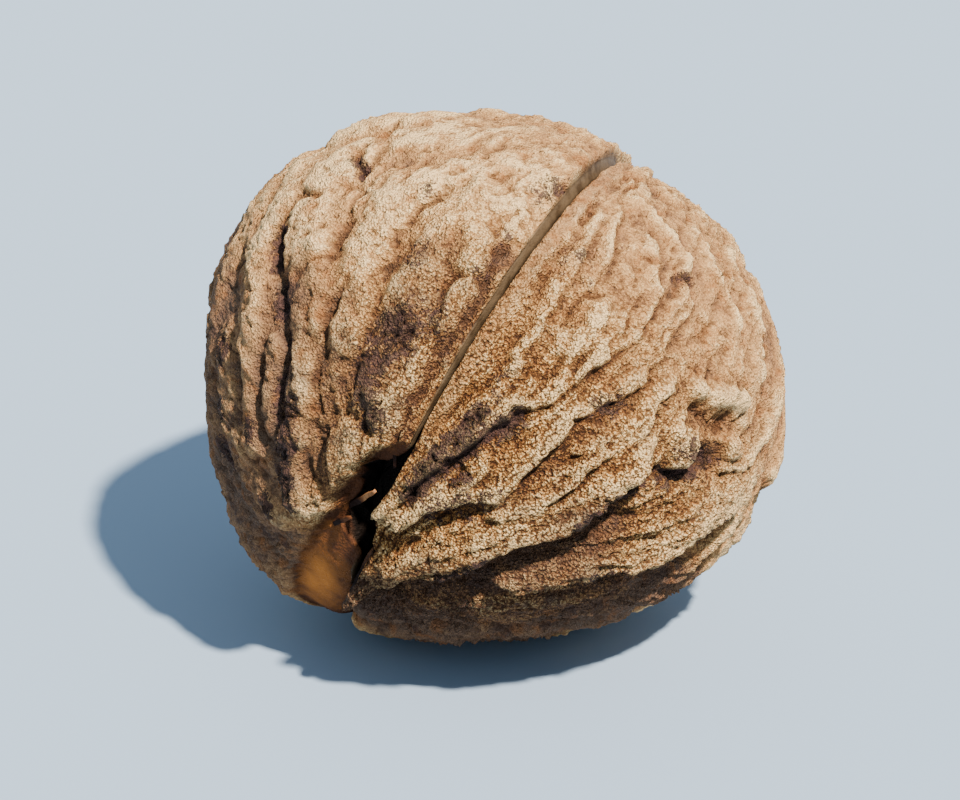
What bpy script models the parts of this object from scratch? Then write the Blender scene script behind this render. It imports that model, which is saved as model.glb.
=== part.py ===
"""A cracked walnut: two ridged half shells that have parted along the seam.

The nut is modelled in its own frame: X runs across the seam, from the left half to the right,
Y runs up the nut from the stem end to the tip, and Z faces out along the open seam.
An empty then lays it on its side, as it rests on a table. Everything is in metres.
"""

import math
import random

import bmesh
import bpy
import numpy as np
from mathutils import Matrix, Vector, noise

MM = 0.001

# Driving dimensions, in millimetres: how far the nut reaches from its middle.
REACH_RIGHT = 16.2
REACH_LEFT = 18.2
REACH_BASE = 16.3
REACH_TIP = 15.4
REACH_FRONT = 16.2
WALL = 3.4
RIDGE_DEPTH = 1.05
MARGIN_DEPTH = 0.35
CRACK_MIDDLE = 0.50
CRACK_PER_MM_UP = 0.012
CRACK_PER_MM_FORWARD = 0.0095
CRACK_OFFSET = -0.32
CRACK_LEAN = 0.030
LIP_STEP = 0.32
FLAT_CUT = 0.38

# How the nut lies: the directions of its Y and X axes in the world.
TIP_DIRECTION = Vector((0.550, 0.602, 0.580))
ACROSS_DIRECTION = Vector((0.834, -0.358, -0.419))

# Broad swellings and hollows, as (degrees from the stem end, degrees round from the open seam,
# height in mm, spread in degrees). Round is positive on the right half.
SWELLINGS = (
    (123, 87, 1.3, 32),
    (22, -134, 1.3, 30),
    (39, 122, -1.5, 30),
)

# Ridges, each a line of such (down, round) points with the height of its crest and its
# half width in mm. The side that faces the stem end of the right half is the steep one.
RIGHT_RIDGES = (
    (0.75, 1.0, ((122, 5), (108, 7), (94, 7), (80, 8), (70, 9))),
    (1.05, 1.3, ((76, 13), (67, 12), (58, 10), (48, 6), (40, 2))),
    (0.90, 1.2, ((117, 14), (106, 12), (95, 12), (84, 14))),
    (0.85, 1.1, ((66, 18), (58, 16), (50, 12), (42, 7), (35, 2))),
    (1.00, 1.3, ((115, 22), (104, 20), (94, 19), (85, 20))),
    (1.10, 1.3, ((79, 21), (70, 21), (61, 21), (53, 19), (46, 14), (38, 8))),
    (0.85, 1.2, ((114, 33), (103, 29), (92, 27), (84, 28))),
    (1.00, 1.2, ((80, 31), (70, 30), (61, 30), (53, 27), (44, 21), (34, 12))),
    (0.80, 1.2, ((106, 38), (98, 35), (89, 34), (81, 36))),
    (1.25, 1.5, ((80, 42), (70, 38), (61, 37), (52, 34), (43, 30), (33, 23), (20, 12))),
    (1.10, 1.5, ((85, 42), (87, 47), (87, 52))),
    (1.15, 1.4, ((99, 46), (102, 52), (103, 58))),
    (0.90, 1.3, ((84, 57), (76, 53), (68, 50), (60, 49), (52, 47), (44, 43))),
    (1.05, 1.4, ((82, 62), (73, 60), (65, 57), (57, 57), (49, 53), (41, 47))),
    (0.95, 1.5, ((122, 30), (128, 22), (132, 12))),
    (0.90, 1.6, ((120, 48), (127, 40), (136, 28))),
    (0.90, 1.6, ((112, 62), (121, 60), (130, 54), (140, 44))),
    (0.95, 1.5, ((93, 64), (98, 69), (108, 72), (118, 72))),
    (0.95, 1.4, ((86, 80), (75, 81), (66, 84), (55, 80))),
    (0.85, 1.4, ((66, 72), (56, 68), (45, 64), (34, 56), (24, 45))),
)
LEFT_RIDGES = (
    (0.90, 1.3, ((98, -13), (91, -14), (84, -14))),
    (1.05, 1.6, ((101, -23), (95, -22), (87, -22), (79, -20), (72, -17))),
    (1.00, 1.9, ((70, -14), (63, -14), (56, -14))),
    (0.85, 1.1, ((84, -8), (74, -8), (64, -9), (54, -12), (49, -12))),
    (1.05, 1.5, ((108, -37), (100, -36), (92, -35), (84, -34), (75, -32), (64, -29))),
    (1.05, 1.6, ((101, -47), (95, -49), (89, -51))),
    (1.00, 1.5, ((84, -45), (77, -46), (72, -43), (64, -39))),
    (1.00, 1.5, ((104, -58), (96, -60), (88, -61), (80, -60))),
    (1.05, 1.4, ((80, -61), (71, -59), (62, -56), (54, -53), (46, -52))),
    (1.10, 1.0, ((60, -46), (52, -46), (45, -45), (38, -45))),
    (1.05, 1.4, ((60, -36), (50, -37), (42, -36), (35, -33), (28, -31))),
    (1.05, 1.6, ((53, -20), (46, -20), (40, -20), (34, -23))),
    (0.95, 1.4, ((55, -28), (48, -28), (62, -24))),
    (1.00, 1.4, ((77, -68), (71, -72), (64, -76), (54, -78), (44, -80))),
    (1.00, 1.4, ((62, -66), (52, -66), (42, -66), (34, -62), (26, -52))),
    (1.15, 1.7, ((110, -66), (116, -58), (122, -50))),
    (0.90, 1.6, ((112, -44), (119, -38), (126, -30), (134, -20))),
    (0.90, 1.5, ((104, -28), (112, -24), (120, -18), (129, -11))),
    (0.90, 1.4, ((106, -13), (114, -11), (122, -7))),
    (1.00, 1.5, ((98, -74), (90, -76), (82, -78), (72, -84))),
)

# Each ridge's foot reaches this much further than its half width, to meet its neighbours.
SPREAD = 1.3

# Seeded noise pushes every ridge aside by up to this share of the nut's reach, so it wanders.
WANDER_SEED = 1795153986
WANDER_PACE = 4
WANDER = 0.03

# Ridges on the back: lines from the stem end to the tip, this many degrees apart.
BACK_FROM = 92
BACK_STEP = 10
BACK_SEED = 11

# The hole at the stem end, as ellipsoids that are cut away: middle and reach along X, Y and Z
# of the nut, and the tilt about X in degrees.
FUNNEL = ((-1.5, -16.9, 2.9), (2.8, 3.3, 6.3), 10)
SLOT = ((-0.9, -12.2, 10.0), (1.5, 4.4, 4.6), 50)

CUT_REACH = 60
SPHERE_ACROSS = 200
SPHERE_ALONG = 128
KEEP_FACES = 0.13


def direction(down, around):
    """A unit direction in the nut's frame, from degrees down and degrees round."""
    down, around = math.radians(down), math.radians(around)
    return np.array((
        math.sin(down) * math.sin(around),
        -math.cos(down),
        math.sin(down) * math.cos(around),
    ))


def smooth_form(out):
    """How far the nut reaches in each direction, in mm, with no ridges on it."""
    across = np.where(out[:, 0] > 0, REACH_RIGHT, REACH_LEFT)
    along = np.where(out[:, 1] < 0, REACH_BASE, REACH_TIP)
    reach = ((out[:, 0] / across) ** 2 + (out[:, 1] / along) ** 2
             + (out[:, 2] / REACH_FRONT) ** 2) ** -0.5
    for down, around, height, spread in SWELLINGS:
        away = np.degrees(np.arccos(np.clip(out @ direction(down, around), -1, 1)))
        reach += height * np.exp(-((away / spread) ** 2))
    return reach


def back_ridges():
    """Ridges for the side that faces away from the open seam, broken and wandering."""
    chance = random.Random(BACK_SEED)
    ridges = []
    for around in range(BACK_FROM, 360 - BACK_FROM + 1, BACK_STEP):
        drift = 8 if around < 180 else -8
        down = 14 + chance.uniform(0, 12)
        while down < 145:
            length = chance.uniform(26, 52)
            end = down + length
            if end > 150:
                end = 176
            start = around + chance.uniform(-2, 2)
            middle = ((down + end) / 2, start + drift / 2 + chance.uniform(-2, 2))
            line = ((down, start), middle, (end, start + drift))
            ridges.append((chance.uniform(0.8, 1.1), chance.uniform(1.3, 1.9), line))
            down = end + 7
    for around in range(-80, 81, 20):
        line = ((138 + chance.uniform(0, 12), around), (176, around * 0.5))
        ridges.append((chance.uniform(0.8, 1.0), 1.6, line))
    return tuple(ridges)


def ridge_relief(out):
    """Height above the valleys, in mm: rounded ridges that meet in sharp valleys."""
    total = np.zeros(len(out))
    for height, width, line in RIGHT_RIDGES + LEFT_RIDGES + back_ridges():
        stops = [direction(*point) for point in line]
        nearest = np.full(len(out), 9.0)
        for start, end in zip(stops, stops[1:]):
            run = end - start
            share = np.clip((out - start) @ run / (run @ run), 0, 1)
            gap = np.linalg.norm(out - start - share[:, None] * run, axis=1)
            nearest = np.minimum(nearest, gap)
        away = nearest * REACH_FRONT / (width * SPREAD)
        total += (height * np.clip(1 - away ** 2, 0, 1)) ** 4
    return total ** 0.25


def lip_step(out):
    """How far the two lips of the crack stand out of line near the tip, in mm."""
    near_tip = np.clip((out[:, 1] + 0.1) / 0.7, 0, 1) * (out[:, 2] > -0.5)
    return LIP_STEP * near_tip * np.exp(-((out[:, 0] / 0.25) ** 2))


def shell_reach(out, side):
    """How far the ridged outside of one half reaches in each direction, in mm."""
    noise.seed_set(WANDER_SEED)
    wander = np.array([noise.noise_vector(Vector(point) * WANDER_PACE) for point in out])
    relief = ridge_relief(out + wander * WANDER)
    seam = np.exp(-((out[:, 0] * REACH_FRONT / 0.9) ** 2)) * (out[:, 2] > 0)
    relief = relief * (1 - seam) + (RIDGE_DEPTH - MARGIN_DEPTH) * seam
    under = out @ resting_direction()
    worn = np.clip((under - 0.90) / 0.08, 0, 1)
    relief = relief * (1 - worn) + RIDGE_DEPTH * 0.8 * worn
    return smooth_form(out) - side * lip_step(out) - RIDGE_DEPTH + relief


def nut_axes():
    """The nut's X, Y and Z axes in the world, as the columns of a matrix."""
    along = TIP_DIRECTION.normalized()
    across = (ACROSS_DIRECTION - ACROSS_DIRECTION.dot(along) * along).normalized()
    facing = across.cross(along)
    return Matrix((across, along, facing)).transposed()


def resting_direction():
    """Straight down in the world, seen from the nut's own frame."""
    return np.array(nut_axes().transposed() @ Vector((0, 0, -1)))


def clear_scene():
    for item in list(bpy.data.objects):
        bpy.data.objects.remove(item, do_unlink=True)


def new_collection(name, hidden=False):
    group = bpy.data.collections.new(name)
    bpy.context.scene.collection.children.link(group)
    group.hide_render = hidden
    return group


def shell_material(name, colour, roughness):
    made = bpy.data.materials.new(name)
    made.use_nodes = True
    surface = made.node_tree.nodes["Principled BSDF"]
    surface.inputs["Base Color"].default_value = (*colour, 1)
    surface.inputs["Roughness"].default_value = roughness
    return made


def ball(name, across, along):
    """A sphere of unit radius with its poles on Y, as a bmesh."""
    ball_mesh = bmesh.new()
    bmesh.ops.create_uvsphere(ball_mesh, u_segments=across, v_segments=along, radius=1)
    quarter_turn = Matrix.Rotation(math.radians(90), 3, "X")
    bmesh.ops.rotate(ball_mesh, verts=ball_mesh.verts, matrix=quarter_turn)
    return ball_mesh


def finish_object(name, built, group, parent):
    mesh = bpy.data.meshes.new(name)
    bmesh.ops.recalc_face_normals(built, faces=built.faces)
    built.to_mesh(mesh)
    built.free()
    made = bpy.data.objects.new(name, mesh)
    group.objects.link(made)
    made.parent = parent
    return made


def whole_shell(name, side, group, parent):
    """A half's solid outside, before it is split: a sphere pushed out to the ridged form."""
    built = ball(name, SPHERE_ACROSS, SPHERE_ALONG)
    built.verts.ensure_lookup_table()
    out = np.array([vertex.co.normalized() for vertex in built.verts])
    for vertex, way, reach in zip(built.verts, out, shell_reach(out, side)):
        vertex.co = Vector(way) * reach * MM
    made = finish_object(name, built, group, parent)
    fewer = made.modifiers.new("fewer_faces", "DECIMATE")
    fewer.ratio = KEEP_FACES
    made.data.shade_smooth()
    return made


def cutter_look(made):
    made.hide_render = True
    made.display_type = "WIRE"
    return made


def cut_ellipsoid(name, middle, reach, tilt, group, parent):
    """An ellipsoid cutter in the nut's frame, from sizes in mm and a tilt in degrees."""
    built = ball(name, 40, 28)
    place = (Matrix.Translation(Vector(middle) * MM)
             @ Matrix.Rotation(math.radians(tilt), 4, "X")
             @ Matrix.Diagonal((*(Vector(reach) * MM), 1)))
    bmesh.ops.transform(built, matrix=place, verts=built.verts)
    return cutter_look(finish_object(name, built, group, parent))


def cut_block(name, middle, turn, group, parent):
    """A big cube cutter, from its middle in mm and its turns about Y and Z in radians."""
    built = bmesh.new()
    bmesh.ops.create_cube(built, size=CUT_REACH * MM)
    place = Matrix.Rotation(turn[1], 4, "Z") @ Matrix.Rotation(turn[0], 4, "Y")
    place = Matrix.Translation(Vector(middle) * MM) @ place
    bmesh.ops.transform(built, matrix=place, verts=built.verts)
    return cutter_look(finish_object(name, built, group, parent))


def cut_away(made, cutter):
    cut = made.modifiers.new(f"cut_{cutter.name}", "BOOLEAN")
    cut.operation = "DIFFERENCE"
    cut.solver = "EXACT"
    cut.object = cutter


def seam_cutters(group, parent):
    """Blocks that clear each half from the crack on. It widens to the tip and to the open side."""
    half = CUT_REACH / 2
    lean = math.atan(CRACK_LEAN)
    wider_lean = math.atan(CRACK_LEAN + CRACK_PER_MM_UP)
    yawn = -math.atan(CRACK_PER_MM_FORWARD)
    left_middle = (CRACK_OFFSET - CRACK_MIDDLE + half, 0, 0)
    right_middle = (CRACK_OFFSET - half, 0, 0)
    clears_left = cut_block("right_side_block", left_middle, (yawn, wider_lean), group, parent)
    clears_right = cut_block("left_side_block", right_middle, (0, lean), group, parent)
    return clears_left, clears_right


def evaluated_corners(parts):
    """The lowest and highest corners of the finished parts in the world."""
    bpy.context.view_layer.update()
    graph = bpy.context.evaluated_depsgraph_get()
    found = []
    for part in parts:
        shaped = part.evaluated_get(graph)
        found += [shaped.matrix_world @ vertex.co for vertex in shaped.data.vertices]
    lowest = Vector(min(point[axis] for point in found) for axis in range(3))
    highest = Vector(max(point[axis] for point in found) for axis in range(3))
    return lowest, highest


def build():
    clear_scene()
    nut = new_collection("cracked_walnut")
    cutters = new_collection("cutters", hidden=True)
    pose = bpy.data.objects.new("nut_pose", None)
    nut.objects.link(pose)
    pose.matrix_world = nut_axes().to_4x4()

    left = whole_shell("left_shell_half", -1, nut, pose)
    left.data.materials.append(shell_material("left_shell", (0.42, 0.27, 0.15), 0.85))
    right = whole_shell("right_shell_half", 1, nut, pose)
    right.data.materials.append(shell_material("right_shell", (0.50, 0.34, 0.19), 0.85))

    clears_left, clears_right = seam_cutters(cutters, pose)
    cut_away(left, clears_left)
    cut_away(right, clears_right)
    room = (REACH_RIGHT - WALL, REACH_TIP - WALL, REACH_FRONT - WALL)
    kernel_room = cut_ellipsoid("kernel_room", (-0.5, 0.2, 0), room, 0, cutters, pose)
    funnel = cut_ellipsoid("stem_funnel", *FUNNEL, cutters, pose)
    slot = cut_ellipsoid("seam_hole", *SLOT, cutters, pose)
    for part in (left, right):
        for cutter in (kernel_room, funnel, slot):
            cut_away(part, cutter)

    lowest, highest = evaluated_corners((left, right))
    middle = (lowest + highest) / 2
    pose.location = (-middle.x, -middle.y, -lowest.z - FLAT_CUT * MM)
    floor = cut_block("floor_block", (0, 0, -CUT_REACH / 2), (0, 0), cutters, None)
    for part in (left, right):
        cut_away(part, floor)


build()
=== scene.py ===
# %% [markdown]
# # A cracked walnut
#
# A deeply ridged walnut lies on a table. Its shell has parted along the seam, so it is two half
# shells that still hold together, with a dark hole beside the seam at the stem end.
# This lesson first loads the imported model, which fixes where everything is and how big it is. It
# then makes each half shell again as a fine mesh, with its ridges, lips and hole, and gives it a
# sandy, stained finish that is worked out from the shape.

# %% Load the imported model
import math
import random

import bmesh
import bpy
import numpy as np
from mathutils import Matrix, Vector, noise


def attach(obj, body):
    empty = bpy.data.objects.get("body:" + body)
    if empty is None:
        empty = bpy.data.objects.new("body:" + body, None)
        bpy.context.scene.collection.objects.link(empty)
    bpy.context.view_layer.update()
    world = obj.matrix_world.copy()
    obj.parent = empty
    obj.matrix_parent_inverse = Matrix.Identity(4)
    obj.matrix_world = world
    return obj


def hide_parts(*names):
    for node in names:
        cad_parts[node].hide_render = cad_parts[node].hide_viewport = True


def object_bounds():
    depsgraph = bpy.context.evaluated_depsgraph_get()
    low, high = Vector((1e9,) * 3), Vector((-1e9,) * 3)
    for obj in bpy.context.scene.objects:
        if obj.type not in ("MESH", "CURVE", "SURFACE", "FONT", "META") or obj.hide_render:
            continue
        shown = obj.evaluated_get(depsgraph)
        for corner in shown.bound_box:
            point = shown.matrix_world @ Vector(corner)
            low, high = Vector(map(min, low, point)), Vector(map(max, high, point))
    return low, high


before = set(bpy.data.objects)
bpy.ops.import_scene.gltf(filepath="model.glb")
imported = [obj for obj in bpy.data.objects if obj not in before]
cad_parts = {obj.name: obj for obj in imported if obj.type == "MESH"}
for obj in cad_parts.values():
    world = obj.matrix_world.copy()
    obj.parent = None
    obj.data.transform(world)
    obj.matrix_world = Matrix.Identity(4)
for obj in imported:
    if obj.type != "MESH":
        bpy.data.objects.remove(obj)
cad_low, cad_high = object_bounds()
print("nodes:", sorted(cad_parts), "size in mm:", (cad_high - cad_low) * 1000)

# %% [markdown]
# ## The nut's own frame
#
# Ridges are easiest to place on the nut itself, before it is laid down. X runs across the seam
# from the left half to the right, Y runs from the stem end to the tip, and Z faces out along the
# open seam. A place on the shell is then two angles: degrees down from the stem end, and degrees
# round from the open seam. Sizes in this frame are in millimetres. A swelling of the shell has
# its two angles, its height, and how many degrees it spreads.

# %% The nut's frame and its sizes
MM = 0.001
TIP_DIRECTION = Vector((0.550, 0.602, 0.580))
ACROSS_DIRECTION = Vector((0.834, -0.358, -0.419))
NUT_MIDDLE = Vector((0.00025, 0.00015, 0.01507))
REACH_RIGHT = 16.2
REACH_LEFT = 18.2
REACH_BASE = 16.3
REACH_TIP = 15.4
REACH_FRONT = 16.2
WALL = 3.4
RIDGE_DEPTH = 1.05

SWELLINGS = (
    (123, 87, 1.3, 32),
    (22, -134, 1.3, 30),
    (39, 122, -1.5, 30),
)


def nut_axes():
    """The nut's X, Y and Z axes in the world, as the columns of a matrix."""
    along = TIP_DIRECTION.normalized()
    across = (ACROSS_DIRECTION - ACROSS_DIRECTION.dot(along) * along).normalized()
    return Matrix((across, along, across.cross(along))).transposed()


def direction(down, around):
    """A unit direction in the nut's frame, from degrees down and degrees round."""
    down, around = math.radians(down), math.radians(around)
    return np.array((
        math.sin(down) * math.sin(around),
        -math.cos(down),
        math.sin(down) * math.cos(around),
    ))


def to_world(points):
    """Points in the nut's frame in mm, as points in the world in metres."""
    turn = np.array(nut_axes())
    return points @ turn.T * MM + np.array(NUT_MIDDLE)


print("straight down, in the nut's frame:", nut_axes().transposed() @ Vector((0, 0, -1)))

# %% [markdown]
# ## The ridges
#
# Cords of hard shell run from the stem end towards the tip, drift away from the seam and break
# up into knobs. Each is a line of places, after the height of its crest and a width, both in
# millimetres. The cords of the left half and the back are rounded, and so are the knobs: the
# width is half of their own. The cords of the right half are shelves. A shelf ends in a cliff on
# the side away from the seam, and its width is how far it slopes down on the other side.

# %% The ridges of both halves
RIGHT_RIDGES = (
    (0.72, 1.3, ((118, 6), (104, 6.5), (94, 7.5), (84, 8.5), (76, 9), (66, 8))),
    (1.10, 1.9, ((72, 14), (68, 14), (61, 12), (53, 9), (44, 4), (34, 0))),
    (0.95, 1.4, ((58, 18), (52, 18), (44, 13), (38, 8), (34, 4))),
    (1.10, 2.0, ((75, 25), (68, 25), (60, 25), (53, 25), (48, 20), (42, 13), (34, 9))),
    (1.05, 1.9, ((86, 40), (78, 38), (73, 36), (67, 36), (62, 35), (56, 34), (50, 30))),
    (1.60, 2.8, ((78, 44), (70, 45), (62, 44), (54, 42), (46, 37), (34, 35), (23, 24), (6, 13))),
    (1.20, 4.2, ((92, 77), (84, 74), (76, 72), (69, 70), (63, 62), (58, 60), (50, 60), (42, 53))),
    (0.95, 1.7, ((106, 26), (100, 26), (92, 24), (86, 22), (81, 20), (76, 18), (71, 15))),
    (0.90, 1.6, ((95, 40), (90, 39), (86, 38), (80, 36), (77, 34), (72, 32))),
    (0.80, 1.5, ((92, 33), (86, 31), (82, 28), (77, 25))),
    (0.75, 1.6, ((124, 9), (114, 11), (106, 13))),
    (0.75, 1.8, ((120, 20), (114, 22), (109, 26))),
    (0.70, 1.8, ((114, 34), (106, 33), (98, 33))),
    (0.80, 2.0, ((132, 12), (128, 22), (122, 32))),
    (0.80, 2.0, ((136, 28), (127, 40), (120, 50))),
    (0.85, 2.0, ((140, 44), (130, 54), (121, 60), (112, 62))),
    (0.90, 2.0, ((118, 72), (108, 72), (98, 70), (93, 66))),
    (0.90, 2.0, ((90, 86), (76, 86), (66, 87), (52, 82))),
    (0.85, 2.0, ((58, 73), (45, 68), (34, 62), (24, 52))),
)
RIGHT_KNOBS = (
    (1.45, 1.25, ((88, 50), (87.5, 52))),
    (1.05, 0.95, ((99, 45), (101, 50))),
    (1.15, 0.80, ((102, 51), (104.5, 58))),
    (1.05, 1.20, ((97, 17), (92, 18), (87, 15))),
    (1.10, 0.75, ((97, 60), (96, 64))),
    (0.90, 1.0, ((56, 55), (52, 54))),
)
LEFT_RIDGES = (
    (0.95, 0.9, ((72, -10), (60, -9), (48, -10))),
    (1.05, 1.6, ((75, -15), (66, -15), (56, -15))),
    (1.20, 1.5, ((45, -18), (41, -17), (37, -14))),
    (1.10, 1.5, ((30, -31), (26, -23))),
    (1.20, 1.1, ((52, -34), (46, -37), (40, -38), (34, -38), (28, -34))),
    (1.00, 1.3, ((66, -36), (58, -37), (52, -36))),
    (1.30, 0.9, ((84, -8), (77, -8))),
    (1.35, 1.1, ((95, -12), (90, -10))),
    (1.05, 1.7, ((104, -17), (97, -18), (90, -18), (84, -18), (78, -18))),
    (1.05, 1.7, ((101, -32), (94, -32), (87, -31), (80, -30), (73, -27), (66, -26))),
    (1.10, 1.7, ((103, -52), (97, -54), (93, -53))),
    (1.05, 1.6, ((87, -50), (81, -46), (75, -40), (68, -38))),
    (1.05, 1.4, ((96, -64), (88, -61), (80, -60), (74, -59), (66, -56))),
    (1.05, 0.6, ((60, -47), (50, -46), (43, -46))),
    (1.10, 1.0, ((64, -55), (54, -54), (46, -53), (40, -55))),
    (1.00, 1.4, ((90, -72), (80, -72), (72, -74), (64, -76), (54, -78), (44, -80))),
    (1.00, 1.3, ((60, -65), (50, -65), (40, -65), (32, -62), (24, -54))),
    (1.15, 1.7, ((110, -66), (116, -58), (122, -50))),
    (0.90, 1.6, ((112, -44), (119, -38), (126, -30), (134, -20))),
    (0.90, 1.5, ((108, -27), (112, -24), (120, -18), (129, -11))),
    (0.90, 1.4, ((108, -13), (114, -11), (122, -7))),
    (1.00, 1.5, ((100, -75), (94, -77), (84, -82), (74, -86))),
)
SPREAD = 1.3
BACK_SEED = 11
BACK_FROM = 92
BACK_STEP = 10
BACK_DRIFT = 8
BACK_START, BACK_LAST, BACK_END = 14, 145, 176
BACK_LENGTHS = (26, 52)
BACK_BREAK = 7
BACK_HEIGHTS = (0.85, 1.15)
BACK_WIDTHS = (0.95, 1.45)
UNDER_START = 138
UNDER_HEIGHTS = (0.8, 1.0)
UNDER_WIDTH = 1.6


def back_ridges():
    """Ridges for the side that faces away from the open seam, broken and wandering."""
    chance = random.Random(BACK_SEED)
    ridges = []
    for around in range(BACK_FROM, 360 - BACK_FROM + 1, BACK_STEP):
        drift = BACK_DRIFT if around < 180 else -BACK_DRIFT
        down = BACK_START + chance.uniform(0, 12)
        while down < BACK_LAST:
            length = chance.uniform(*BACK_LENGTHS)
            end = down + length
            if end > BACK_LAST + 5:
                end = BACK_END
            start = around + chance.uniform(-2, 2)
            middle = ((down + end) / 2, start + drift / 2 + chance.uniform(-2, 2))
            line = ((down, start), middle, (end, start + drift))
            ridges.append((chance.uniform(*BACK_HEIGHTS), chance.uniform(*BACK_WIDTHS), line))
            down = end + BACK_BREAK
    for around in range(-80, 81, 20):
        line = ((UNDER_START + chance.uniform(0, 12), around), (BACK_END, around * 0.5))
        ridges.append((chance.uniform(*UNDER_HEIGHTS), UNDER_WIDTH, line))
    return tuple(ridges)


BACK_RIDGES = back_ridges()
print("ridges:", len(RIGHT_RIDGES), "right,", len(LEFT_RIDGES), "left,", len(BACK_RIDGES), "back")
print("knobs:", len(RIGHT_KNOBS))

# %% [markdown]
# ## The form of the shell
#
# The bare form is an ellipsoid with three broad swellings, and the ridges stand on it. A sum to
# the fourth power joins them, so crests keep their height and neighbours meet in a sharp valley,
# as the cords of a real shell do. The valleys have an uneven floor of their own, a little
# higher on the front of the left half. A shelf also leaves two marks for the finish: a painted
# shadow along the foot of its cliff, and a painted highlight along its rim.

# %% The bare form and the relief on it
STEEP_SIDE = 0.42
STEP_CURVE = 1.25
DOME_CURVE = 2.6
KNOB_CURVE = 2.0
FLOOR_HEIGHT = 0.42
FLOOR_HIGHER = 0.16
FLOOR_LUMPS = 0.16
FAR_AWAY = 9.0
FOOT_WIDTH = 0.26
FOOT_DROP = 0.45
RIM_WIDTH = 0.50


def smooth_form(out):
    """How far the nut reaches in each direction, in mm, with no ridges on it."""
    across = np.where(out[:, 0] > 0, REACH_RIGHT, REACH_LEFT)
    along = np.where(out[:, 1] < 0, REACH_BASE, REACH_TIP)
    reach = ((out[:, 0] / across) ** 2 + (out[:, 1] / along) ** 2
             + (out[:, 2] / REACH_FRONT) ** 2) ** -0.5
    for down, around, height, spread in SWELLINGS:
        away = np.degrees(np.arccos(np.clip(out @ direction(down, around), -1, 1)))
        reach += height * np.exp(-((away / spread) ** 2))
    return reach


def lumps(points, size, octaves, shift=0.0):
    """Smooth noise at each point, about -1 to 1. Size is the width of its largest lumps."""
    moved = points / size + shift
    return np.array([noise.fractal(Vector(p), 1.0, 2.0, octaves) for p in moved])


def gap_to(out, line):
    """How far each direction is from a line of places in mm, and if it lies on its far side."""
    stops = [direction(*point) for point in line]
    nearest = np.full(len(out), FAR_AWAY)
    far_side = np.zeros(len(out), bool)
    for start, end in zip(stops, stops[1:]):
        run = end - start
        share = np.clip((out - start) @ run / (run @ run), 0, 1)
        gap = np.linalg.norm(out - start - share[:, None] * run, axis=1)
        closer = gap < nearest
        far_side[closer] = (out @ np.cross(start, end) > 0)[closer]
        nearest = np.minimum(nearest, gap)
    return nearest * REACH_FRONT, far_side


def one_ridge(out, ridge, curve, lopsided=False):
    """The height of one ridge over each direction in mm, and the foot and rim of its cliff, where the
    finish paints a shadow and a highlight.
    """
    height, width, line = ridge
    gap, far_side = gap_to(out, line)
    reach = width * SPREAD
    if lopsided:
        reach = np.where(far_side, STEEP_SIDE, width)
        curve = np.where(far_side, curve, STEP_CURVE)
    foot = np.clip(1 - np.abs(gap - STEEP_SIDE) / FOOT_WIDTH, 0, 1) * far_side
    rim = np.clip(1 - gap / RIM_WIDTH, 0, 1)
    return height * (1 - np.clip(gap / reach, 0, 1) ** curve), foot, rim


def ridge_relief(out):
    """Height above the deepest valleys in mm, and how near a place is to a cliff's foot or rim, for a
    painted shadow and a painted highlight.
    """
    left = np.clip(-5 * out[:, 0], 0, 1)
    front = np.clip(5 * out[:, 2], 0, 1)
    floor = FLOOR_HEIGHT + FLOOR_HIGHER * left * front
    total = (floor * (1 + 0.5 * lumps(out, FLOOR_LUMPS, 2))) ** 4
    cliffs = []
    for ridge in RIGHT_RIDGES:
        rise, foot, rim = one_ridge(out, ridge, DOME_CURVE, lopsided=True)
        total += rise ** 4
        cliffs.append((ridge[0], foot, rim))
    for ridge in RIGHT_KNOBS:
        total += one_ridge(out, ridge, KNOB_CURVE)[0] ** 4
    for ridge in LEFT_RIDGES + BACK_RIDGES:
        total += one_ridge(out, ridge, DOME_CURVE)[0] ** 4
    relief = total ** 0.25
    foot_shadow = np.zeros(len(out))
    rim_highlight = np.zeros(len(out))
    for height, foot, rim in cliffs:
        foot_shadow = np.maximum(foot_shadow, foot * np.clip((height - relief) / FOOT_DROP, 0, 1))
        rim_highlight = np.maximum(rim_highlight, rim * np.clip((relief - height) / FOOT_DROP + 1, 0, 1))
    return relief, foot_shadow, rim_highlight
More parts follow.
